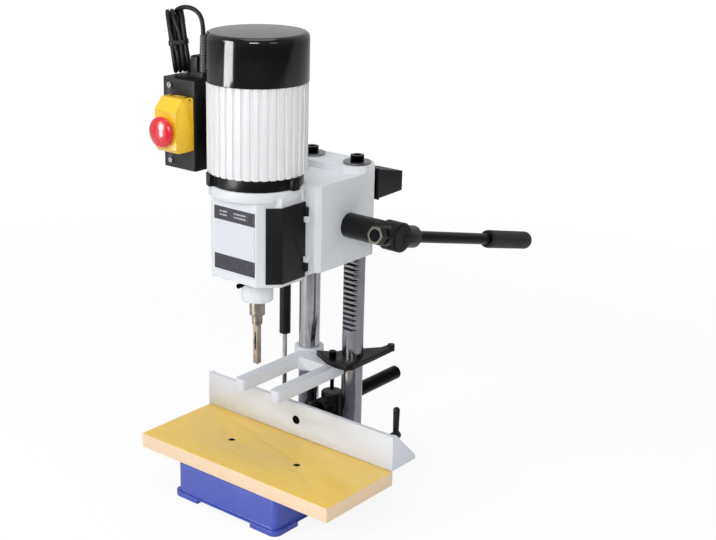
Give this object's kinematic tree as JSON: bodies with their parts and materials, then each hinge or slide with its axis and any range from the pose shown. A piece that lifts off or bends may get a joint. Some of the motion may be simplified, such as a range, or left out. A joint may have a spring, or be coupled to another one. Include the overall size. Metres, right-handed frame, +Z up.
{
  "type": "benchtop mortiser",
  "caption": "Benchtop hollow-chisel mortiser: geared lever lowers the motor head on twin columns over a fenced wooden table; hinged switch cover, coiled mains lead.",
  "frame": {"origin": "centre of the four bench-bolt holes in the base, at the level of the underside of its feet", "axes": "+X to the operator's right, +Y from the operator to the back, +Z up along the columns"},
  "size_m": [0.36, 0.5715, 0.7194],
  "materials": {
    "base_paint": "smooth gloss blue enamel over cast iron",
    "head_paint": "fine-textured off-white enamel over cast iron",
    "fence_paint": "light grey enamel over cast iron",
    "black_paint": "satin black paint",
    "board": "sealed fibre board with a clear yellowish coat",
    "chromed": "ground and hard-chromed steel",
    "steel": "machined steel",
    "dark_steel": "black oxide steel",
    "tool_steel": "ground tool steel with a brownish temper",
    "alloy": "die-cast aluminium with a silver coat",
    "bronze": "sintered bronze",
    "winding": "enamelled copper windings in a steel core",
    "black_gloss": "glossy black moulding",
    "black_matte": "matt black moulding",
    "yellow_plastic": "glossy yellow moulding",
    "red_plastic": "glossy red moulding",
    "green_plastic": "glossy green moulding",
    "grip_rubber": "matt black rubber",
    "cord_rubber": "matt black cord sheath",
    "label": "printed plate with plain dark bands and no lettering"
  },
  "bodies": {
    "base": {"base_casting": "base_paint", "table_board": "board", "table_screws": "dark_steel", "left_column": "chromed", "rack_column": "chromed", "column_stop_washers": "steel", "column_stop_bolts": "dark_steel", "bar_post": "black_paint", "gas_spring_rod": "chromed"},
    "fence": {"fence_plate": "fence_paint", "fence_bar": "dark_steel", "fence_bolt": "dark_steel"},
    "bar_clamp": {"bar_clamp_lever": "black_matte"},
    "stop_lever": {"fence_stop_lever": "black_matte"},
    "holddown": {"holddown_fork": "fence_paint", "holddown_plate": "black_paint", "holddown_nut": "steel"},
    "holddown_screw": {"holddown_bolt": "dark_steel"},
    "head": {"head_casting": "head_paint", "door_hinge_pins": "steel", "label_plate": "label", "rear_cover": "black_matte", "motor_flange": "black_paint", "motor_flange_bolts": "dark_steel", "motor_body": "alloy", "motor_end_shield": "alloy", "shaft_bearings": "steel", "motor_stator": "winding", "motor_cap": "black_gloss", "chisel_bushing": "tool_steel", "hollow_chisel": "tool_steel", "pinion_bushes": "bronze", "gas_spring_body": "black_paint", "switch_box": "black_matte", "switch_screws": "steel", "switch_bracket": "black_paint", "cable_gland": "black_matte", "cord_lead": "cord_rubber", "cord_hank": "cord_rubber", "cord_tie": "black_matte", "cord_tail": "cord_rubber", "mains_plug": "cord_rubber"},
    "door": {"chuck_door": "black_matte"},
    "spindle": {"motor_shaft": "steel", "rotor_core": "steel", "cooling_fan": "black_matte", "chuck_body": "dark_steel", "chuck_jaws": "steel", "auger_bit": "tool_steel"},
    "lock_screw": {"chisel_lock_screw": "dark_steel"},
    "feed": {"pinion_gear": "steel", "pinion_shaft": "steel", "feed_hub": "black_paint", "lever_rod": "dark_steel", "lever_nut": "steel", "lever_grip": "grip_rubber"},
    "lid": {"switch_lid": "yellow_plastic"},
    "stop_knob": {"stop_mushroom": "red_plastic"},
    "stop_button": {"stop_button": "red_plastic"},
    "start_button": {"start_button": "green_plastic"}
  },
  "joints": [
    {"name": "head_slide", "type": "slide", "parent": "base", "child": "head", "axis": [0, 0, -1], "range_m": [0, 0.12], "stiffness_N_per_m": 1800, "springref_m": -0.188},
    {"name": "feed_lever", "type": "hinge", "parent": "head", "child": "feed", "pos_m": [0.146, 0.0478, 0.413], "axis": [1, 0, 0], "range_deg": [0, 197]},
    {"name": "spindle_spin", "type": "hinge", "parent": "head", "child": "spindle", "pos_m": [0, -0.0739, 0.42], "axis": [0, 0, 1], "continuous": true},
    {"name": "fence_slide", "type": "slide", "parent": "base", "child": "fence", "axis": [0, -1, 0], "range_m": [0, 0.075]},
    {"name": "bar_clamp_turn", "type": "hinge", "parent": "base", "child": "bar_clamp", "pos_m": [-0.0153, 0.076, 0.102], "axis": [-1, 0, 0], "range_deg": [-60, 4]},
    {"name": "stop_lever_turn", "type": "hinge", "parent": "fence", "child": "stop_lever", "pos_m": [0.166, 0.0199, 0.12], "axis": [0, 1, 0], "range_deg": [-60, 45]},
    {"name": "holddown_slide", "type": "slide", "parent": "base", "child": "holddown", "axis": [0, 0, -1], "range_m": [-0.11, 0.018]},
    {"name": "holddown_screw_turn", "type": "hinge", "parent": "holddown", "child": "holddown_screw", "pos_m": [0.0278, 0.064, 0.19], "axis": [0, 0, 1], "range_deg": [0, 180]},
    {"name": "door_hinge", "type": "hinge", "parent": "head", "child": "door", "pos_m": [0.0685, -0.05, 0.412], "axis": [0, 0, 1], "range_deg": [0, 120]},
    {"name": "lid_hinge", "type": "hinge", "parent": "head", "child": "lid", "pos_m": [-0.101, -0.121, 0.597], "axis": [-1, 0, 0], "range_deg": [0, 100]},
    {"name": "stop_press", "type": "slide", "parent": "lid", "child": "stop_knob", "axis": [0, 1, 0], "range_m": [0, 0.004], "stiffness_N_per_m": 800, "springref_m": -0.001},
    {"name": "stop_button_press", "type": "slide", "parent": "head", "child": "stop_button", "axis": [0, 1, 0], "range_m": [0, 0.004]},
    {"name": "start_press", "type": "slide", "parent": "head", "child": "start_button", "axis": [0, 1, 0], "range_m": [0, 0.003], "stiffness_N_per_m": 800, "springref_m": -0.001},
    {"name": "lock_screw_turn", "type": "hinge", "parent": "head", "child": "lock_screw", "pos_m": [0, -0.1, 0.347], "axis": [0, 1, 0], "range_deg": [0, 180]}
  ],
  "couplings": [
    {"joint": "feed_lever", "follows": "head_slide", "rad_per_m": 28.571},
    {"joint": "stop_button_press", "follows": "stop_press", "ratio": 1}
  ]
}
